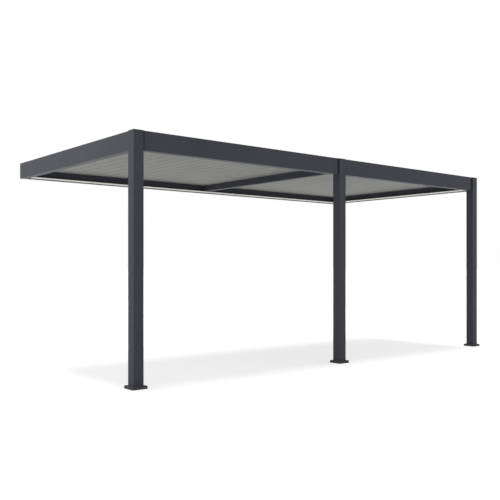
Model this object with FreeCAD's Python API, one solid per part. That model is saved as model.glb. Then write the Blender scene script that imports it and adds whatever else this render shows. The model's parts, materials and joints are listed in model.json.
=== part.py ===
# Wall-mounted pergola with two bays of turning louvers.
# X runs along the front, Y towards the wall, Z up. The origin lies under the middle post,
# on the underside of its base plate.
import FreeCAD, Part
import math
import os

V = FreeCAD.Vector

# Louvers: blades that lie along Y and turn about their own length
louver_pitch = 150.0
louver_count = 18
louver_gap = 7.0
blade_wall = 2.0
blade_nose_radius = 73.0
blade_below_pivot = 18.0
blade_top_high = 10.0
blade_top_low = 5.0
trough_width = 23.5
upstand_top = 2.0
lip_reach = 16.5
drip_drop = 7.0

# End caps, pivots and the push rod that turns all blades of a bay together
cap_thickness = 3.0
pin_radius = 5.0
pin_flat_count = 8
bearing_clearance = 0.15
rail_thickness = 8.0
rail_height = 40.0
rail_end_gap = 2.0
pin_past_rail_face = 6.0
crank_radius = 26.0
crank_angle = 37.5
crank_width = 14.0
crank_end = 6.0
crank_pin_radius = 3.5
crank_pin_flat_count = 6
rod_thickness = 5.0
rod_height = 12.0
rod_clearance = 5.0
rod_end = 12.0
crank_pin_tail = 1.0
cap_to_rod = 8.0

# Posts and feet
post_size = 110.0
post_wall = 3.0
post_edge = 2.0
post_height = 2500.0
post_cap_thickness = 3.0
post_cap_plug = 12.0
post_cap_slack = 0.3
plate_size = 159.0
plate_thickness = 12.0
anchor_radius = 5.5
anchor_inset = 12.5
drain_size = 26.0
drain_forward = 36.0
channel_width = 54.0
channel_height = 6.0
channel_back = 20.0
cover_size = 164.0
cover_height = 29.0
cover_wall = 2.0
cover_slack = 0.3

# Beams: an upright chamber outside and an open gutter inside, whose low lip holds the lights.
# They meet the posts in the middle of their faces. The gaps part the posts from the louvers.
roof_depth = 2908.0
beam_height = 193.0
beam_width = 76.0
beam_wall = 3.0
chamber_width = 20.0
lip_height = 28.0
light_box = 12.0
light_bottom = 7.0
light_height = 19.0
light_wall = 2.0
crossing_width = 70.0
middle_gap = 20.0
corner_gap = 24.0
pivot_below_top = 57.0
window_height = 30.0
window_margin = 4.0
wall_anchor_count = 3
wall_anchor_radius = 5.5
wall_anchor_end = 480.0
wall_anchor_access = 26.0

# Fixed strips that close the roof beside the first and the last louver
strip_gap = 8.0
strip_to_post = 5.0

# Places that follow from the sizes above
post_half = post_size / 2
beam_setback = (post_size - beam_width) / 2
crossing_face = crossing_width / 2
bay_near = post_half + middle_gap
bay_far = bay_near + louver_count * louver_pitch
post_inner_x = bay_far + corner_gap
post_x = post_inner_x + post_half
beam_inner_x = post_inner_x + beam_setback
beam_outer_x = beam_inner_x + beam_width
chamber_face_x = beam_outer_x - chamber_width
front_outer_y = -post_half + beam_setback
wall_y = roof_depth - post_half
wall_inner_y = wall_y - beam_width
beam_bottom = post_height - beam_height
pivot_z = post_height - pivot_below_top
crossing_bottom = beam_bottom + lip_height
wall_anchor_z = (pivot_z + rail_height / 2 + post_height - beam_wall) / 2

front_rail_y = front_outer_y + chamber_width
wall_rail_y = wall_y - chamber_width - rail_thickness
rod_y = front_rail_y + rail_thickness + rod_clearance
blade_front = rod_y + rod_thickness + cap_to_rod
blade_back = wall_y - (blade_front - front_outer_y)

blade_half = (louver_pitch - louver_gap) / 2
trough_x = -blade_half + trough_width
lip_x = blade_half + lip_reach
crank_x = crank_radius * math.cos(math.radians(crank_angle))
crank_z = crank_radius * math.sin(math.radians(crank_angle))


def box(x0, x1, y0, y1, z0, z1):
    """A box between two corners."""
    return Part.makeBox(x1 - x0, y1 - y0, z1 - z0, V(x0, y0, z0))


def chamfer_upright(block, size):
    """Takes the upright edges off a box."""
    upright = [edge for edge in block.Edges if abs(edge.Curve.Direction.z) > 0.5]
    return block.makeChamfer(size, upright)


def hole_along_y(radius, x, z, y0, y1):
    """A round hole along Y."""
    return Part.makeCylinder(radius, y1 - y0, V(x, y0, z), V(0, 1, 0))


def pin_along_y(radius, flat_count, x, z, y0, y1):
    """A pivot or crank pin. The many pins have flats, so that they stay light to draw."""
    outline = []
    for i in range(flat_count):
        angle = 2 * math.pi * i / flat_count
        outline.append((radius * math.cos(angle), radius * math.sin(angle)))
    return prism(outline, V(x, y0, z), V(1, 0, 0), V(0, y1 - y0, 0))


def seat_along_y(radius, x, z, y0, y1):
    """A square seat that leaves the bearing clearance round a turning pin."""
    half = radius + bearing_clearance
    return box(x - half, x + half, y0, y1, z - half, z + half)


def prism(outline, origin, across, run):
    """Draws an outline of (across, up) points at the origin and sweeps it along run.

    A point may come as (across, up, bulge): an arc then runs through the bulge, itself an
    (across, up) point, to the next one.
    """
    places = [origin + across * p[0] + V(0, 0, p[1]) for p in outline]
    edges = []
    for i, point in enumerate(outline):
        end = places[(i + 1) % len(places)]
        if len(point) == 3:
            middle = origin + across * point[2][0] + V(0, 0, point[2][1])
            edges.append(Part.Arc(places[i], middle, end).toShape())
        else:
            edges.append(Part.LineSegment(places[i], end).toShape())
    return Part.Face(Part.Wire(edges)).extrude(run)


def hollow_prism(outline, voids, origin, across, run):
    """An extruded profile with chambers that run right through it."""
    solid = prism(outline, origin, across, run)
    for void in voids:
        solid = solid.cut(prism(void, origin, across, run))
    return solid


def rectangle(u0, u1, z0, z1):
    return [(u0, z0), (u1, z0), (u1, z1), (u0, z1)]


def beam_outline():
    """Section of a roof beam, from its outer face to its inner face."""
    box_top = light_bottom + light_height
    pocket = beam_width - light_box + light_wall
    return [
        (0, 0),
        (beam_width, 0),
        (beam_width, light_bottom),
        (pocket, light_bottom),
        (pocket, box_top),
        (beam_width, box_top),
        (beam_width, lip_height),
        (beam_width - light_box, lip_height),
        (beam_width - light_box, beam_wall),
        (chamber_width, beam_wall),
        (chamber_width, beam_height),
        (0, beam_height),
    ]


def beam_voids():
    low = beam_wall
    high = beam_height - beam_wall
    return [rectangle(beam_wall, chamber_width - beam_wall, low, high)]


def beam(origin, across, run):
    return hollow_prism(beam_outline(), beam_voids(), origin, across, run)


def light_strip(origin, across, run):
    """The opal strip that fills the pocket in a beam's lip."""
    pocket = beam_width - light_box + light_wall
    outline = rectangle(pocket, beam_width, light_bottom, light_bottom + light_height)
    return prism(outline, origin, across, run)


def mitre(side, keep_wall_beam):
    """The corner block that one of two mitred beams leaves to the other."""
    inner = V(side * beam_inner_x, wall_inner_y, beam_bottom)
    outer = V(side * beam_outer_x, wall_y, beam_bottom)
    if keep_wall_beam:
        third = V(side * beam_outer_x, wall_inner_y, beam_bottom)
    else:
        third = V(side * beam_inner_x, wall_y, beam_bottom)
    wire = Part.makePolygon([inner, outer, third, inner])
    return Part.Face(wire).extrude(V(0, 0, beam_height))


def front_beam(side):
    start = side * (post_half if side > 0 else post_inner_x)
    length = post_inner_x - post_half
    return beam(V(start, front_outer_y, beam_bottom), V(0, 1, 0), V(length, 0, 0))


def side_beam(side):
    start = V(side * beam_outer_x, post_half, beam_bottom)
    whole = beam(start, V(-side, 0, 0), V(0, wall_y - post_half, 0))
    return whole.cut(mitre(side, False))


def wall_beam():
    start = V(-beam_outer_x, wall_y, beam_bottom)
    whole = beam(start, V(0, -1, 0), V(2 * beam_outer_x, 0, 0))
    for side in (-1, 1):
        whole = whole.cut(mitre(side, True))
    z = wall_anchor_z
    half = wall_anchor_access / 2
    web_y = wall_y - chamber_width
    for x in wall_anchor_places():
        whole = whole.cut(hole_along_y(wall_anchor_radius, x, z, wall_y - beam_wall, wall_y))
        whole = whole.cut(box(x - half, x + half, web_y, web_y + beam_wall, z - half, z + half))
    return whole


def wall_anchor_places():
    """Places of the anchor holes along the wall beam, evenly spread about its middle.

    They lie over the pivot rail, where the chamber can be reached past the open louvers.
    """
    step = 2 * wall_anchor_end
    places = [wall_anchor_end + step * i for i in range(wall_anchor_count)]
    return [-x for x in places] + places


def crossing_beam():
    """The box beam between the two bays, which rests on the lip of the wall beam."""
    end = wall_y - chamber_width
    outline = rectangle(-crossing_face, crossing_face, crossing_bottom, post_height)
    low = crossing_bottom + beam_wall
    high = post_height - beam_wall
    void = rectangle(-crossing_face + beam_wall, crossing_face - beam_wall, low, high)
    return hollow_prism(outline, [void], V(0, post_half, 0), V(1, 0, 0), V(0, end - post_half, 0))


def light_strips():
    strips = []
    for side in (-1, 1):
        start = side * (post_half if side > 0 else post_inner_x)
        origin = V(start, front_outer_y, beam_bottom)
        run = V(post_inner_x - post_half, 0, 0)
        strips.append(light_strip(origin, V(0, 1, 0), run))
        origin = V(side * beam_outer_x, post_half, beam_bottom)
        run = V(0, wall_inner_y - post_half, 0)
        strips.append(light_strip(origin, V(-side, 0, 0), run))
    origin = V(-beam_inner_x, wall_y, beam_bottom)
    strips.append(light_strip(origin, V(0, -1, 0), V(2 * beam_inner_x, 0, 0)))
    return strips


def drain_windows(x, side):
    """Windows through which the gutters of the front and side beams empty into a corner post."""
    low = beam_bottom + beam_wall
    high = low + window_height
    front = front_outer_y + chamber_width + window_margin
    back = front_outer_y + beam_width - light_box - window_margin
    inner = x - side * post_half
    cut_x = sorted((inner - side * post_wall, inner + side * 2 * post_wall))
    front_window = box(cut_x[0], cut_x[1], front, back, low, high)
    near = side * (beam_inner_x + light_box + window_margin)
    far = side * (chamber_face_x - window_margin)
    cut_x = sorted((near, far))
    side_window = box(cut_x[0], cut_x[1], post_half - 2 * post_wall, post_half + post_wall, low, high)
    return [front_window, side_window]


def post(x, side):
    """A hollow post welded to its base plate, with a drain channel under the plate."""
    top = post_height - post_cap_thickness
    tube = box(x - post_half, x + post_half, -post_half, post_half, plate_thickness, top)
    tube = chamfer_upright(tube, post_edge)
    inner = post_half - post_wall
    tube = tube.cut(box(x - inner, x + inner, -inner, inner, plate_thickness, top))
    if side:
        for window in drain_windows(x, side):
            tube = tube.cut(window)
    half = plate_size / 2
    plate = box(x - half, x + half, -half, half, 0, plate_thickness)
    channel = channel_width / 2
    plate = plate.cut(box(x - channel, x + channel, -half, -channel_back, 0, channel_height))
    hole = drain_size / 2
    drain = box(x - hole, x + hole, -drain_forward - hole, -drain_forward + hole, 0, plate_thickness)
    plate = plate.cut(drain)
    reach = half - anchor_inset
    for dx in (-reach, reach):
        for dy in (-reach, reach):
            hole = Part.makeCylinder(anchor_radius, plate_thickness, V(x + dx, dy, 0))
            plate = plate.cut(hole)
    return tube.fuse(plate).removeSplitter()


def post_cap(x):
    top = post_height - post_cap_thickness
    lid = box(x - post_half, x + post_half, -post_half, post_half, top, post_height)
    lid = chamfer_upright(lid, post_edge)
    outer = post_half - post_wall - post_cap_slack
    inner = outer - post_wall
    plug = box(x - outer, x + outer, -outer, outer, top - post_cap_plug, top)
    plug = plug.cut(box(x - inner, x + inner, -inner, inner, top - post_cap_plug, top))
    return lid.fuse(plug).removeSplitter()


def foot_cover(x):
    """The square collar round the foot, open below, with a notch where the post drains."""
    half = cover_size / 2
    cover = box(x - half, x + half, -half, half, 0, cover_height)
    inner = half - cover_wall
    cover = cover.cut(box(x - inner, x + inner, -inner, inner, 0, cover_height - cover_wall))
    hole = post_half + cover_slack
    cover = cover.cut(box(x - hole, x + hole, -hole, hole, 0, cover_height))
    channel = channel_width / 2
    return cover.cut(box(x - channel, x + channel, -half, -inner, 0, channel_height))


def nose_at(z):
    """How far the nose reaches at a height. It is struck from the pivot, so it turns past its
    neighbour at an even gap."""
    return math.sqrt(blade_nose_radius ** 2 - z ** 2)


def blade_outline():
    """Section of a louver about its pivot: a trough on the left, a body, and a lip on the right
    that reaches over the next louver's trough."""
    low = -blade_below_pivot
    high = blade_top_high
    return [
        (-blade_half, low),
        (nose_at(low), low, (blade_nose_radius, 0)),
        (nose_at(high - blade_wall), high - blade_wall),
        (lip_x - blade_wall, high - blade_wall),
        (lip_x - blade_wall, high - blade_wall - drip_drop),
        (lip_x, high - blade_wall - drip_drop),
        (lip_x, high),
        (blade_half, high),
        (trough_x, blade_top_low),
        (trough_x, low + blade_wall),
        (-blade_half + blade_wall, low + blade_wall),
        (-blade_half + blade_wall, upstand_top),
        (-blade_half, upstand_top),
    ]


def blade_top_at(x):
    """Height of the sloping top of a louver's body."""
    share = (x - trough_x) / (blade_half - trough_x)
    return blade_top_low + (blade_top_high - blade_top_low) * share


def blade_voids():
    low = -blade_below_pivot + blade_wall
    cuts = [trough_x, 0.0, nose_at(low) - blade_wall]
    voids = []
    for left, right in zip(cuts[:-1], cuts[1:]):
        left = left + blade_wall
        high = (blade_top_at(left) - blade_wall, blade_top_at(right) - blade_wall)
        voids.append([(left, low), (right, low), (right, high[1]), (left, high[0])])
    return voids


def cap_outline():
    low = -blade_below_pivot
    nose = nose_at(low)
    return [(trough_x, low), (nose, low), (nose, blade_top_at(nose)), (trough_x, blade_top_low)]


def end_cap(x, y_inner, y_outer, tip):
    """The cap that closes a blade's body, with its pivot pin."""
    step = V(0, y_outer - y_inner, 0)
    plate = prism(cap_outline(), V(x, y_inner, pivot_z), V(1, 0, 0), step)
    near, far = sorted((y_outer, tip))
    return plate.fuse(pin_along_y(pin_radius, pin_flat_count, x, pivot_z, near, far))


def crank(x):
    """The arm on the front cap, with the pin that the push rod turns."""
    back = blade_front + cap_thickness
    arm_x = x + crank_x
    arm_z = pivot_z + crank_z
    half_x = crank_width / 2 * math.sin(math.radians(crank_angle))
    half_z = crank_width / 2 * math.cos(math.radians(crank_angle))
    end_x = crank_x * (1 + crank_end / crank_radius)
    end_z = crank_z * (1 + crank_end / crank_radius)
    outline = [
        (-half_x, half_z),
        (half_x, -half_z),
        (end_x + half_x, end_z - half_z),
        (end_x - half_x, end_z + half_z),
    ]
    arm = prism(outline, V(x, blade_front, pivot_z), V(1, 0, 0), V(0, back - blade_front, 0))
    tip = rod_y - crank_pin_tail
    pin = pin_along_y(crank_pin_radius, crank_pin_flat_count, arm_x, arm_z, tip, blade_front)
    return arm.fuse(pin)


def louver(x):
    """One louver: the extruded blade and its two end caps."""
    start = blade_front + cap_thickness
    end = blade_back - cap_thickness
    origin = V(x, start, pivot_z)
    blade = hollow_prism(blade_outline(), blade_voids(), origin, V(1, 0, 0), V(0, end - start, 0))
    front_tip = front_rail_y + rail_thickness - pin_past_rail_face
    front_cap = end_cap(x, start, blade_front, front_tip)
    front_cap = front_cap.fuse(crank(x)).removeSplitter()
    back_tip = wall_rail_y + pin_past_rail_face
    back_cap = end_cap(x, end, blade_back, back_tip).removeSplitter()
    return Part.makeCompound([blade, front_cap, back_cap])


def bay_pivots(side):
    """Pivot places of one bay, from left to right."""
    left = bay_near if side > 0 else -bay_far
    return [left + louver_pitch * (i + 0.5) for i in range(louver_count)]


def pivot_rail(side, y, outer_x):
    """A bearing rail on a beam's chamber, bored for the pins of one bay."""
    near, far = sorted((side * (post_half + rail_end_gap), side * (outer_x - rail_end_gap)))
    low = pivot_z - rail_height / 2
    rail = box(near, far, y, y + rail_thickness, low, low + rail_height)
    bores = []
    for x in bay_pivots(side):
        bores.append(seat_along_y(pin_radius, x, pivot_z, y, y + rail_thickness))
    return rail.cut(bores)


def push_rod(side):
    """The flat rod that joins the cranks of one bay, with its ends round about the crank pins."""
    places = [x + crank_x for x in bay_pivots(side)]
    z = pivot_z + crank_z
    y1 = rod_y + rod_thickness
    first = places[0]
    last = places[-1]
    half = rod_height / 2
    flank = math.sqrt(rod_end ** 2 - half ** 2)
    outline = [
        (first - flank, -half),
        (last + flank, -half, (last + rod_end, 0)),
        (last + flank, half),
        (first - flank, half, (first - rod_end, 0)),
    ]
    bar = prism(outline, V(0, rod_y, z), V(1, 0, 0), V(0, rod_thickness, 0))
    return bar.cut([seat_along_y(crank_pin_radius, x, z, rod_y, y1) for x in places])


def lip_strip(reach):
    """Section of the closing strip on the left of a bay, from the face that holds it to the
    first louver, whose trough it reaches over."""
    low = -blade_below_pivot
    high = blade_top_high
    edge = reach + louver_gap / 2 - strip_gap
    tip = reach - louver_pitch / 2 + lip_x
    return [
        (0, low),
        (edge, low),
        (edge, high - blade_wall),
        (tip - blade_wall, high - blade_wall),
        (tip - blade_wall, high - blade_wall - drip_drop),
        (tip, high - blade_wall - drip_drop),
        (tip, high),
        (edge - blade_wall, high),
        (edge - blade_wall, low + blade_wall),
        (blade_wall, low + blade_wall),
        (blade_wall, high),
        (0, high),
    ]


def trough_strip(reach):
    """Section of the closing strip on the right of a bay: the last louver's lip drips into it."""
    low = -blade_below_pivot
    edge = reach + louver_gap / 2 - strip_gap
    return [
        (0, low),
        (edge, low),
        (edge, upstand_top),
        (edge - blade_wall, upstand_top),
        (edge - blade_wall, low + blade_wall),
        (blade_wall, low + blade_wall),
        (blade_wall, blade_top_high),
        (0, blade_top_high),
    ]


def closing_strip(section, beam_face, post_face, boundary):
    """A closing strip, as long as the blades. It narrows to pass beside the post, where a
    plate shuts the end of its wide part."""
    across = V(math.copysign(1, boundary - beam_face), 0, 0)
    front = blade_front + cap_thickness
    step = post_half + strip_to_post
    back = blade_back - cap_thickness
    wide = prism(section(abs(boundary - beam_face)), V(beam_face, step, pivot_z), across,
                 V(0, back - step, 0))
    narrow = prism(section(abs(boundary - post_face)), V(post_face, front, pivot_z), across,
                   V(0, step + blade_wall - front, 0))
    low = pivot_z - blade_below_pivot
    near, far = sorted((beam_face, post_face))
    plate = box(near, far, step, step + blade_wall, low, pivot_z + blade_top_high)
    return wide.fuse([narrow, plate]).removeSplitter()


def save(name, shapes):
    solids = []
    for shape in shapes:
        solids += shape.Solids
    whole = solids[0] if len(solids) == 1 else Part.makeCompound(solids)
    whole.exportStep("parts/" + name + ".step")


os.makedirs("parts", exist_ok=True)

posts = {"left": (-post_x, -1), "middle": (0.0, 0), "right": (post_x, 1)}
for word, (x, side) in posts.items():
    save("post_" + word, [post(x, side)])
save("post_caps", [post_cap(x) for x, side in posts.values()])
save("foot_covers", [foot_cover(x) for x, side in posts.values()])

for word, side in (("left", -1), ("right", 1)):
    save("front_beam_" + word, [front_beam(side)])
    save("side_beam_" + word, [side_beam(side)])
    save("push_rod_" + word, [push_rod(side)])
    for number, x in enumerate(bay_pivots(side), 1):
        save(f"louver_{word}_{number:02d}", [louver(x)])

save("wall_beam", [wall_beam()])
save("crossing_beam", [crossing_beam()])
save("light_strips", light_strips())
save("pivot_rails_front", [pivot_rail(side, front_rail_y, post_inner_x) for side in (-1, 1)])
save("pivot_rails_wall", [pivot_rail(side, wall_rail_y, beam_inner_x) for side in (-1, 1)])

strips = [
    closing_strip(lip_strip, -chamber_face_x, -post_inner_x, -bay_far),
    closing_strip(trough_strip, -crossing_face, -post_half, -bay_near),
    closing_strip(lip_strip, crossing_face, post_half, bay_near),
    closing_strip(trough_strip, chamber_face_x, post_inner_x, bay_far),
]
save("closing_strips", strips)
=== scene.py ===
import json
import math

import bmesh
import bpy
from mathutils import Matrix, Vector


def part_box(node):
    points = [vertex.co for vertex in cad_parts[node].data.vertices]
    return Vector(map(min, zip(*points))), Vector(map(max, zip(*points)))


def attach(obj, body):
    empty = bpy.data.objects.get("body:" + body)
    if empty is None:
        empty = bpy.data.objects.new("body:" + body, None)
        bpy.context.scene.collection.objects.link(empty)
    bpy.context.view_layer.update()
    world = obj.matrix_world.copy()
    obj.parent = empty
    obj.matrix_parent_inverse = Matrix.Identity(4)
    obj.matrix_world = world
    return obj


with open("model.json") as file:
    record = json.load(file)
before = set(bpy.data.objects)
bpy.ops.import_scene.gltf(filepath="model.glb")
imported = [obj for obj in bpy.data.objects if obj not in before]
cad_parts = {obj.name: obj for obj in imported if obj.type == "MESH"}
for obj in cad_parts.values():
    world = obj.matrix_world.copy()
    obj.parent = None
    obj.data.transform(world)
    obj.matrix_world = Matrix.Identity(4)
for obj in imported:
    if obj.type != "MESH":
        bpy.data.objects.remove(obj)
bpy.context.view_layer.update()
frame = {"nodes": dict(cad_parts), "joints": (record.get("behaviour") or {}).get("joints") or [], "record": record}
nodes = frame["nodes"]
joints = {j["child"]: j for j in frame["joints"]}

SIDES = ("left", "right")
FORWARD = Vector((0, -1, 0))
BACKWARD = Vector((0, 1, 0))
UPWARD = Vector((0, 0, 1))

# Sizes shared with the solids. All lengths are in metres.
LOUVERS = 18
PIN_RADIUS = 0.005
CRANK_PIN_RADIUS = 0.0035
BLADE_HALF = 0.0715
BLADE_WALL = 0.002
UPSTAND_TOP = 0.002
CAP_THICKNESS = 0.003
BEAM_WALL = 0.003
PLATE_TOP = 0.012
COVER_HALF = 0.082
CHANNEL_WIDTH = 0.054
CHANNEL_HEIGHT = 0.006
CHANNEL_BACK = 0.020

# The collars of the bushes round the pins
PIN_PLAY = 0.0002
BUSH_REACH = 0.0042
BUSH_HEIGHT = 0.0022
BUSH_INNER_EDGE = 0.0016
BUSH_OUTER_EDGE = 0.0014
BUSH_ROUND = 0.0006
BUSH_SIDES = 20

# Screws of the end caps and the bearing rails
SCREW_SIDES = 18
CAP_SCREW_RADIUS = 0.0036
CAP_SCREW_PLACES = ((-0.040, -0.007), (-0.022, -0.007), (0.058, -0.005))
RAIL_SCREW_RADIUS = 0.004
RAIL_SCREW_COUNT = 9
RAIL_SCREW_START = 0.225
RAIL_SCREW_STEP = 0.300
RAIL_SCREW_OFFSET = 0.014

# The clips on the crank pins
CLIP_REACH = 0.0025
CLIP_BITE = 0.0003
CLIP_THICKNESS = 0.0008

# Anchors in the ground and in the wall
ANCHOR_ACROSS = 0.016
BOLT_HEIGHT = ANCHOR_ACROSS * 0.38
NUT_HEIGHT = ANCHOR_ACROSS * 0.42
WASHER_THICKNESS = 0.0016
WASHER_SIDES = 24
STUD_RADIUS = 0.005
STUD_STRAIGHT = 0.002
STUD_REACH = 0.003
STUD_SIDES = 16

# The sleeves in the drain channels
SLEEVE_WALL = 0.0012
SLEEVE_PLAY = 0.0004
SLEEVE_END_GAP = 0.0005

# The hollow-bulb seals on the blades
BULB_RADIUS = 0.0015
BULB_LIFT = 0.0002
BULB_STEPS = 8
BULB_START = -60
BULB_TURN = 300

# The rubber seals in the corners between beams and posts, whose dark rubber is also painted shade in those corners
SEAL_WIDTH = 0.017
SEAL_DEPTH = 0.014
SEAL_LIP = 0.0012
SEAL_STEPS = 6

# Faces that meet at more than this many degrees keep a sharp edge
SHARP_ANGLE = 35

# The powder coat's orange peel and its softened edges
PEEL_SCALE = 2600.0
PEEL_DEPTH = 0.00006
COAT_EDGE = 0.0012

# Strengths of the studio's lights
FLOOR_GLOW = 0.615
FLOOR_LIGHT = 0.125
SKY_LIGHT = 0.62
OVERHEAD_LIGHT = 1.45
REAR_LIGHT = 1.45
SIDE_LIGHT = 44.0

# Places and sizes in the studio, with angles in degrees
FLOOR_SIZE = 400
FLOOR_DROP = 0.0005
SUN_ANGLE = 14
SIDE_LAMP_PLACE = (-6.0, 3.6, 3.2)
SIDE_LAMP_LENGTH = 5.0
SIDE_LAMP_HEIGHT = 2.0
SIDE_LAMP_DIP = 20
SIDE_LAMP_TURN = 25
CAMERA_PLACE = (-6.2717, -5.8923, 1.1824)
CAMERA_TURN = -39.45
CAMERA_LENS = 50.0
CAMERA_SHIFT = 0.0328


def clear_default_objects():
    for name in ("Cube", "Light", "Camera"):
        if name in bpy.data.objects:
            bpy.data.objects.remove(bpy.data.objects[name])


def node_material(name):
    """A node material, with its tree and its shader."""
    mat = bpy.data.materials.new(name)
    mat.use_nodes = True
    tree = mat.node_tree
    shader = tree.nodes["Principled BSDF"]
    return mat, tree, shader


def object_coordinates(tree):
    return tree.nodes.new("ShaderNodeTexCoord").outputs["Object"]


def noise(tree, coords, scale, detail, rough=0.5):
    tex = tree.nodes.new("ShaderNodeTexNoise")
    tex.inputs["Scale"].default_value = scale
    tex.inputs["Detail"].default_value = detail
    tex.inputs["Roughness"].default_value = rough
    tree.links.new(coords, tex.inputs["Vector"])
    return tex.outputs["Fac"]


def spread(tree, fac, low, high):
    """Turns a 0 to 1 value into one between low and high."""
    node = tree.nodes.new("ShaderNodeMapRange")
    node.inputs["To Min"].default_value = low
    node.inputs["To Max"].default_value = high
    tree.links.new(fac, node.inputs["Value"])
    return node.outputs["Result"]


def colour(tree, shader, fac, low, high):
    """Lets the shader's colour follow a 0 to 1 value between two colours."""
    node = tree.nodes.new("ShaderNodeValToRGB")
    stops = node.color_ramp.elements
    stops[0].position = 0.3
    stops[0].color = (*low, 1)
    stops[1].position = 0.7
    stops[1].color = (*high, 1)
    tree.links.new(fac, node.inputs["Fac"])
    tree.links.new(node.outputs["Color"], shader.inputs["Base Color"])


def vary(tree, shader, name, fac, low, high):
    """Lets one of the shader's values follow a 0 to 1 value between low and high."""
    tree.links.new(spread(tree, fac, low, high), shader.inputs[name])


def powder_coat(name, low, high, roughness, gloss):
    """Powder-coated aluminium: fine orange peel, slight clouds of tone, and soft coated edges."""
    mat, tree, shader = node_material(name)
    coords = object_coordinates(tree)
    shader.inputs["Specular IOR Level"].default_value = gloss
    colour(tree, shader, noise(tree, coords, 1.7, 2.0), low, high)
    patch = noise(tree, coords, 9.0, 4.0)
    vary(tree, shader, "Roughness", patch, roughness - 0.04, roughness + 0.04)
    bevel = tree.nodes.new("ShaderNodeBevel")
    bevel.samples = 4
    bevel.inputs["Radius"].default_value = COAT_EDGE
    bump = tree.nodes.new("ShaderNodeBump")
    bump.inputs["Strength"].default_value = 0.35
    bump.inputs["Distance"].default_value = PEEL_DEPTH
    tree.links.new(noise(tree, coords, PEEL_SCALE, 2.0), bump.inputs["Height"])
    tree.links.new(bevel.outputs["Normal"], bump.inputs["Normal"])
    tree.links.new(bump.outputs["Normal"], shader.inputs["Normal"])
    return mat


def opal_light(name):
    """Opal diffuser, lit from behind, a little dimmer between the diodes."""
    mat, tree, shader = node_material(name)
    cloud = noise(tree, object_coordinates(tree), 30.0, 2.0)
    colour(tree, shader, cloud, (0.80, 0.79, 0.74), (0.86, 0.85, 0.80))
    vary(tree, shader, "Emission Strength", cloud, 0.24, 0.29)
    shader.inputs["Emission Color"].default_value = (1.0, 0.98, 0.92, 1)
    shader.inputs["Roughness"].default_value = 0.55
    return mat


def steel(name):
    """Stainless screws, lightly brushed."""
    mat, tree, shader = node_material(name)
    shader.inputs["Metallic"].default_value = 1.0
    tint = noise(tree, object_coordinates(tree), 300.0, 2.0)
    colour(tree, shader, tint, (0.45, 0.45, 0.44), (0.60, 0.60, 0.59))
    vary(tree, shader, "Roughness", tint, 0.26, 0.42)
    return mat


def bush_plastic(name):
    """Moulded acetal: smooth, with faint moulding clouds."""
    mat, tree, shader = node_material(name)
    tint = noise(tree, object_coordinates(tree), 60.0, 3.0)
    colour(tree, shader, tint, (0.020, 0.020, 0.021), (0.030, 0.030, 0.031))
    vary(tree, shader, "Roughness", tint, 0.42, 0.56)
    return mat


def seal_rubber(name, gloss):
    """Extruded black rubber with a dusty bloom."""
    mat, tree, shader = node_material(name)
    shader.inputs["Specular IOR Level"].default_value = gloss
    bloom = noise(tree, object_coordinates(tree), 25.0, 4.0, 0.6)
    colour(tree, shader, bloom, (0.012, 0.012, 0.012), (0.024, 0.024, 0.023))
    vary(tree, shader, "Roughness", bloom, 0.62, 0.78)
    return mat


FRAME_PAINT = powder_coat(
    "frame_powder_coat", (0.0540, 0.0563, 0.0688), (0.0600, 0.0623, 0.0748), 0.50, 0.11
)
LOUVER_PAINT = powder_coat(
    "louver_powder_coat", (0.284, 0.292, 0.278), (0.300, 0.308, 0.294), 0.62, 0.10
)
MECHANISM = powder_coat(
    "mechanism_coat", (0.048, 0.049, 0.053), (0.056, 0.057, 0.061), 0.52, 0.25
)
LIGHT = opal_light("opal_diffuser")
STEEL = steel("stainless_screws")
BUSH = bush_plastic("bush_acetal")
RUBBER = seal_rubber("blade_seal_rubber", 0.5)
# Nearly matt black rubber for the corner seals; it is also painted shade, darkening the corners where beams meet
# posts
SEAL_AND_SHADE_RUBBER = seal_rubber("seal_and_painted_shade_rubber", 0.1)


def paint_of(name):
    """The material of a solid, by its node's name."""
    if name.startswith("louver_") or name == "closing_strips":
        return LOUVER_PAINT
    if name == "light_strips":
        return LIGHT
    if name.startswith(("pivot_rails", "push_rod")):
        return MECHANISM
    return FRAME_PAINT


def paint_solids():
    for name, obj in nodes.items():
        for slot in obj.material_slots:
            slot.material = paint_of(name)


def lathe(bm, profile, place, axis, sides):
    """Turns a profile of (radius, height) points about an axis at a place."""
    turn = Vector((0, 0, 1)).rotation_difference(axis).to_matrix()
    rings = []
    for radius, height in profile:
        ring = []
        for i in range(sides):
            angle = 2 * math.pi * i / sides
            spot = Vector((radius * math.cos(angle), radius * math.sin(angle), height))
            ring.append(bm.verts.new(place + turn @ spot))
        rings.append(ring)
    for low, high in zip(rings, rings[1:]):
        for i in range(sides):
            j = (i + 1) % sides
            bm.faces.new((low[i], low[j], high[j], high[i]))
    return rings


def bush_flange(bm, place, axis, inner):
    """The collar of a moulded bush round a pin, with a rolled rim."""
    outer = inner + BUSH_REACH
    profile = [
        (inner, 0.0),
        (inner, BUSH_INNER_EDGE),
        (inner + BUSH_ROUND, BUSH_HEIGHT),
        (outer - BUSH_ROUND, BUSH_HEIGHT),
        (outer, BUSH_OUTER_EDGE),
        (outer, 0.0),
    ]
    lathe(bm, profile, place, axis, BUSH_SIDES)


def pan_screw(bm, place, axis, radius):
    """A pan-head screw with a hexagon recess."""
    head = radius * 0.72
    profile = [
        (radius, 0.0),
        (radius, head * 0.45),
        (radius * 0.88, head * 0.80),
        (radius * 0.55, head),
    ]
    top = lathe(bm, profile, place, axis, SCREW_SIDES)[-1]
    rim, floor = lathe(bm, [(radius * 0.42, head), (radius * 0.40, head * 0.35)], place, axis, 6)
    bm.faces.new(floor)
    for i in range(SCREW_SIDES):
        j = (i + 1) % SCREW_SIDES
        a = rim[(i // 3) % 6]
        b = rim[((i + 1) // 3) % 6]
        bm.faces.new((top[i], top[j], a) if a is b else (top[i], top[j], b, a))


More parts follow.
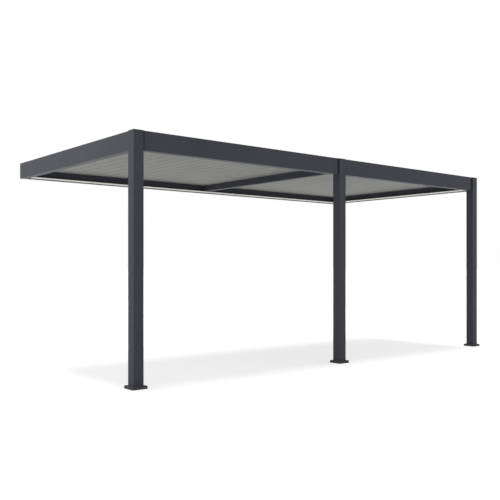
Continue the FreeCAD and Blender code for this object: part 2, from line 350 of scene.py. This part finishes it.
def washer(bm, place, axis, outer, inner, thickness):
    profile = [
        (outer, 0.0),
        (outer, thickness * 0.8),
        (outer - thickness * 0.2, thickness),
        (inner, thickness),
    ]
    lathe(bm, profile, place, axis, WASHER_SIDES)


def hexagon_on_washer(bm, place, axis, height):
    """A washer with a bolt's head or a nut on it, whose upper corners are rounded off."""
    washer(bm, place, axis, ANCHOR_ACROSS * 0.62, ANCHOR_ACROSS * 0.5, WASHER_THICKNESS)
    corner = ANCHOR_ACROSS / 2 / math.cos(math.pi / 6)
    profile = [
        (corner, WASHER_THICKNESS),
        (corner, WASHER_THICKNESS + height * 0.85),
        (corner * 0.88, WASHER_THICKNESS + height),
    ]
    bm.faces.new(lathe(bm, profile, place, axis, 6)[-1])


def stud_end(bm, place, axis):
    """The end of a ground anchor, which stands out of its nut."""
    top = WASHER_THICKNESS + NUT_HEIGHT
    profile = [
        (STUD_RADIUS, top),
        (STUD_RADIUS, top + STUD_STRAIGHT),
        (STUD_RADIUS * 0.8, top + STUD_REACH),
    ]
    bm.faces.new(lathe(bm, profile, place, axis, STUD_SIDES)[-1])


def sweep(bm, outline, start, end):
    """Sweeps a closed outline of (x, z) points from one y to another and closes its ends."""
    first = [bm.verts.new((x, start, z)) for x, z in outline]
    last = [bm.verts.new((x, end, z)) for x, z in outline]
    for i in range(len(outline)):
        j = (i + 1) % len(outline)
        bm.faces.new((first[i], last[i], last[j], first[j]))
    bm.faces.new(first)
    bm.faces.new(list(reversed(last)))


def piece(name, bm, mat, body, smooth=True):
    """Makes a mesh a piece of the scene that rides on a body."""
    mesh = bpy.data.meshes.new(name)
    bm.normal_update()
    bm.to_mesh(mesh)
    bm.free()
    obj = bpy.data.objects.new(name, mesh)
    bpy.context.scene.collection.objects.link(obj)
    mesh.materials.append(mat)
    if smooth:
        for poly in mesh.polygons:
            poly.use_smooth = True
        mod = obj.modifiers.new("edges", "EDGE_SPLIT")
        mod.split_angle = math.radians(SHARP_ANGLE)
    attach(obj, body)


def pivots(side):
    """Pivot places of one bay, from left to right, as the record states them."""
    return [Vector(joints[f"louver_{side}_{n:02d}"]["pos_m"]) for n in range(1, LOUVERS + 1)]


def crank_offset(side):
    """From a louver's pivot to its crank pin, seen from the front."""
    first = pivots(side)[0]
    pin = Vector(joints[f"push_rod_{side}"]["pos_m"])
    return Vector((pin.x - first.x, 0, pin.z - first.z))


def blade_ends():
    """Front and back faces of the end caps, read from the lead louver's mesh."""
    mesh = nodes["louver_left_01"].data
    pivot = pivots("left")[0]
    ys = sorted({round(v.co.y, 5) for v in mesh.vertices if abs(v.co.x - pivot.x) > 0.04})
    return ys[0], ys[-1]


front_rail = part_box("pivot_rails_front")
wall_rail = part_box("pivot_rails_wall")
rod_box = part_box("push_rod_left")
CAP_FRONT, CAP_BACK = blade_ends()


def bearing_bushes():
    bm = bmesh.new()
    for side in SIDES:
        for pivot in pivots(side):
            front = Vector((pivot.x, front_rail[1][1], pivot.z))
            bush_flange(bm, front, BACKWARD, PIN_RADIUS + PIN_PLAY)
            rear = Vector((pivot.x, wall_rail[0][1], pivot.z))
            bush_flange(bm, rear, FORWARD, PIN_RADIUS + PIN_PLAY)
    piece("bearing_bushes", bm, BUSH, "frame")


def rail_screws():
    bm = bmesh.new()
    middle = (front_rail[0][2] + front_rail[1][2]) / 2
    for side in (-1, 1):
        for k in range(RAIL_SCREW_COUNT):
            x = side * (RAIL_SCREW_START + RAIL_SCREW_STEP * k)
            for z in (RAIL_SCREW_OFFSET, -RAIL_SCREW_OFFSET):
                front = Vector((x, front_rail[1][1], middle + z))
                pan_screw(bm, front, BACKWARD, RAIL_SCREW_RADIUS)
                rear = Vector((x, wall_rail[0][1], middle + z))
                pan_screw(bm, rear, FORWARD, RAIL_SCREW_RADIUS)
    piece("rail_screws", bm, STEEL, "frame")


def rod_bushes(side):
    bm = bmesh.new()
    offset = crank_offset(side)
    for pivot in pivots(side):
        place = Vector((pivot.x + offset.x, rod_box[1][1], pivot.z + offset.z))
        bush_flange(bm, place, BACKWARD, CRANK_PIN_RADIUS + PIN_PLAY)
    piece(f"rod_bushes_{side}", bm, BUSH, f"push_rod_{side}")


def cap_screws(side, number, pivot):
    """Three screws hold each end cap to its blade, and a clip keeps the push rod on the crank pin."""
    node = f"louver_{side}_{number:02d}"
    bm = bmesh.new()
    for dx, dz in CAP_SCREW_PLACES:
        front = Vector((pivot.x + dx, CAP_FRONT, pivot.z + dz))
        pan_screw(bm, front, FORWARD, CAP_SCREW_RADIUS)
        back = Vector((pivot.x + dx, CAP_BACK, pivot.z + dz))
        pan_screw(bm, back, BACKWARD, CAP_SCREW_RADIUS)
    offset = crank_offset(side)
    clip = Vector((pivot.x + offset.x, rod_box[0][1], pivot.z + offset.z))
    outer = CRANK_PIN_RADIUS + CLIP_REACH
    inner = CRANK_PIN_RADIUS - CLIP_BITE
    washer(bm, clip, FORWARD, outer, inner, CLIP_THICKNESS)
    piece(f"cap_screws_{side}_{number:02d}", bm, STEEL, node)


def blade_seal(side, number, pivot):
    """The hollow-bulb seal that sits on a louver's upstand, under its neighbour's lip."""
    node = f"louver_{side}_{number:02d}"
    foot_x = pivot.x - BLADE_HALF
    foot_z = pivot.z + UPSTAND_TOP
    centre_x = foot_x + BLADE_WALL / 2
    centre_z = foot_z + BULB_LIFT + BULB_RADIUS
    outline = [(foot_x + BLADE_WALL, foot_z)]
    for i in range(BULB_STEPS + 1):
        angle = math.radians(BULB_START + BULB_TURN * i / BULB_STEPS)
        x = centre_x + BULB_RADIUS * math.cos(angle)
        z = centre_z + BULB_RADIUS * math.sin(angle)
        outline.append((x, z))
    outline.append((foot_x, foot_z))
    bm = bmesh.new()
    sweep(bm, list(reversed(outline)), CAP_FRONT + CAP_THICKNESS, CAP_BACK - CAP_THICKNESS)
    piece(f"blade_seal_{side}_{number:02d}", bm, RUBBER, node)


def anchor_places(word):
    """Places of the anchor holes that the record states under a name."""
    places = []
    for mount in frame["record"]["mounts"]:
        if not mount["name"].startswith(word):
            continue
        dims = mount["dims"]
        half_x = dims["spacing_x_mm"] / 2000
        half_y = dims.get("spacing_y_mm", 0) / 2000
        for dx in (-half_x, half_x):
            for dy in sorted({-half_y, half_y}):
                places.append(Vector(mount["pos_m"]) + Vector((dx, dy, 0)))
    return places


def wall_anchors():
    """The anchor heads inside the wall beam's chamber, behind their windows."""
    bm = bmesh.new()
    for place in anchor_places("wall_anchors"):
        hexagon_on_washer(bm, place + BEAM_WALL * FORWARD, FORWARD, BOLT_HEIGHT)
    piece("wall_anchors", bm, STEEL, "frame", smooth=False)


def ground_anchors():
    """Nuts and studs of the ground anchors on the base plates, under the foot covers."""
    bm = bmesh.new()
    for place in anchor_places("anchors_"):
        top = place + PLATE_TOP * UPWARD
        hexagon_on_washer(bm, top, UPWARD, NUT_HEIGHT)
        stud_end(bm, top, UPWARD)
    piece("ground_anchors", bm, STEEL, "frame", smooth=False)


def drain_sleeves():
    """A plastic sleeve lines each channel under a base plate, where the post's water runs out."""
    bm = bmesh.new()
    half = CHANNEL_WIDTH / 2 - SLEEVE_PLAY
    top = CHANNEL_HEIGHT - SLEEVE_PLAY
    for mount in frame["record"]["mounts"]:
        if not mount["name"].startswith("foot_"):
            continue
        x, y = mount["pos_m"][:2]
        outline = [
            (x - half, 0),
            (x + half, 0),
            (x + half, top),
            (x + half - SLEEVE_WALL, top),
            (x + half - SLEEVE_WALL, SLEEVE_WALL),
            (x - half + SLEEVE_WALL, SLEEVE_WALL),
            (x - half + SLEEVE_WALL, top),
            (x - half, top),
        ]
        front = y - COVER_HALF + SLEEVE_END_GAP
        back = y - CHANNEL_BACK - SLEEVE_END_GAP
        sweep(bm, list(reversed(outline)), front, back)
    piece("drain_sleeves", bm, BUSH, "frame", smooth=False)


def cove_outline():
    """The outline of a corner seal, a dark piece that is partly painted shade, as (along the beam, out along the
    post), hollow between two lips.
    """
    outline = [(0, 0), (SEAL_WIDTH, 0)]
    for step in range(SEAL_STEPS + 1):
        angle = math.pi / 2 * step / SEAL_STEPS
        along = SEAL_WIDTH - (SEAL_WIDTH - SEAL_LIP) * math.sin(angle)
        out = SEAL_DEPTH - (SEAL_DEPTH - SEAL_LIP) * math.cos(angle)
        outline.append((along, out))
    outline.append((0, SEAL_DEPTH))
    return outline


def shade_and_seal_in_corner(bm, corner, along, out, low, high):
    """One upright seal in the corner where a beam's face meets a post's face, whose dark rubber also paints the
    shade in that corner.
    """
    points = [corner + a * along + b * out for a, b in cove_outline()]
    foot = [bm.verts.new((p.x, p.y, low)) for p in points]
    head = [bm.verts.new((p.x, p.y, high)) for p in points]
    for i in range(len(points)):
        j = (i + 1) % len(points)
        bm.faces.new((foot[i], foot[j], head[j], head[i]))
    bm.faces.new(foot)
    bm.faces.new(list(reversed(head)))


def joint_seals():
    """Seals that close the gutters' ends. Their dark rubber also paints the shade where a beam meets a post, seen
    as a dark line.
    """
    bm = bmesh.new()
    for side in SIDES:
        low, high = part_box(f"front_beam_{side}")
        for x, along in ((low[0], 1), (high[0], -1)):
            corner = Vector((x, low[1], 0))
            shade_and_seal_in_corner(bm, corner, Vector((along, 0, 0)), FORWARD, low[2], high[2])
        low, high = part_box(f"side_beam_{side}")
        x, out = (low[0], -1) if side == "left" else (high[0], 1)
        corner = Vector((x, low[1], 0))
        shade_and_seal_in_corner(bm, corner, BACKWARD, Vector((out, 0, 0)), low[2], high[2])
    bmesh.ops.recalc_face_normals(bm, faces=bm.faces)
    piece("joint_seals", bm, SEAL_AND_SHADE_RUBBER, "frame")


def add_pieces():
    bearing_bushes()
    rail_screws()
    for side in SIDES:
        rod_bushes(side)
        for number, pivot in enumerate(pivots(side), 1):
            cap_screws(side, number, pivot)
            blade_seal(side, number, pivot)
    wall_anchors()
    ground_anchors()
    drain_sleeves()
    joint_seals()


def seen_ray(tree):
    """1 where the camera, gloss or glass sees a surface, and 0 where it only gives light."""
    rays = tree.nodes.new("ShaderNodeLightPath")
    seen = rays.outputs["Is Camera Ray"]
    for kind in ("Is Glossy Ray", "Is Transmission Ray"):
        either = tree.nodes.new("ShaderNodeMath")
        either.operation = "MAXIMUM"
        tree.links.new(seen, either.inputs[0])
        tree.links.new(rays.outputs[kind], either.inputs[1])
        seen = either.outputs["Value"]
    return seen


def studio_floor():
    """A pale matt floor. It looks white but for the shadow, and gives less light than it shows."""
    mat, tree, shader = node_material("studio_floor")
    cloud = noise(tree, object_coordinates(tree), 0.6, 2.0)
    colour(tree, shader, cloud, (0.445, 0.445, 0.445), (0.455, 0.455, 0.455))
    shader.inputs["Roughness"].default_value = 0.9
    shader.inputs["Specular IOR Level"].default_value = 0.1
    shader.inputs["Emission Color"].default_value = (1, 1, 1, 1)
    vary(tree, shader, "Emission Strength", seen_ray(tree), FLOOR_LIGHT, FLOOR_GLOW)
    bpy.ops.mesh.primitive_plane_add(size=FLOOR_SIZE, location=(0, 0, -FLOOR_DROP))
    floor = bpy.context.object
    floor.name = "studio_floor"
    floor.data.materials.append(mat)


def studio_world():
    """White where the camera, gloss or glass sees it, and dimmer as a light."""
    world = bpy.data.worlds.new("studio")
    world.use_nodes = True
    tree = world.node_tree
    background = tree.nodes["Background"]
    background.inputs["Color"].default_value = (1, 1, 1, 1)
    vary(tree, background, "Strength", seen_ray(tree), SKY_LIGHT, 1.0)
    bpy.context.scene.world = world


def soft_sun(name, energy, lean, turn):
    """A soft distant lamp that leans back from the upright and is turned about it, in degrees."""
    data = bpy.data.lights.new(name, "SUN")
    data.energy = energy
    data.angle = math.radians(SUN_ANGLE)
    lamp = bpy.data.objects.new(name, data)
    lamp.rotation_euler = (math.radians(-lean), 0, math.radians(turn))
    bpy.context.scene.collection.objects.link(lamp)


def side_lamp():
    """A long soft box beside the left end, which lights the faces that look that way."""
    data = bpy.data.lights.new("side_lamp", "AREA")
    data.shape = "RECTANGLE"
    data.size = SIDE_LAMP_LENGTH
    data.size_y = SIDE_LAMP_HEIGHT
    data.energy = SIDE_LIGHT
    lamp = bpy.data.objects.new("side_lamp", data)
    lamp.location = SIDE_LAMP_PLACE
    lamp.rotation_euler = (
        math.radians(90 - SIDE_LAMP_DIP),
        0,
        math.radians(-90 - SIDE_LAMP_TURN),
    )
    lamp.visible_camera = False
    bpy.context.scene.collection.objects.link(lamp)


def studio():
    studio_floor()
    studio_world()
    soft_sun("overhead_lamp", OVERHEAD_LIGHT, lean=5, turn=-58)
    soft_sun("rear_lamp", REAR_LIGHT, lean=26, turn=-8)
    side_lamp()


def camera():
    data = bpy.data.cameras.new("camera")
    data.lens = CAMERA_LENS
    data.sensor_width = 36.0
    data.shift_y = CAMERA_SHIFT
    data.clip_end = 1000
    obj = bpy.data.objects.new("camera", data)
    obj.location = CAMERA_PLACE
    obj.rotation_euler = (math.radians(90), 0, math.radians(CAMERA_TURN))
    bpy.context.scene.collection.objects.link(obj)
    bpy.context.scene.camera = obj


paint_solids()
add_pieces()
clear_default_objects()
studio()
camera()
bpy.context.scene.view_settings.view_transform = "Standard"
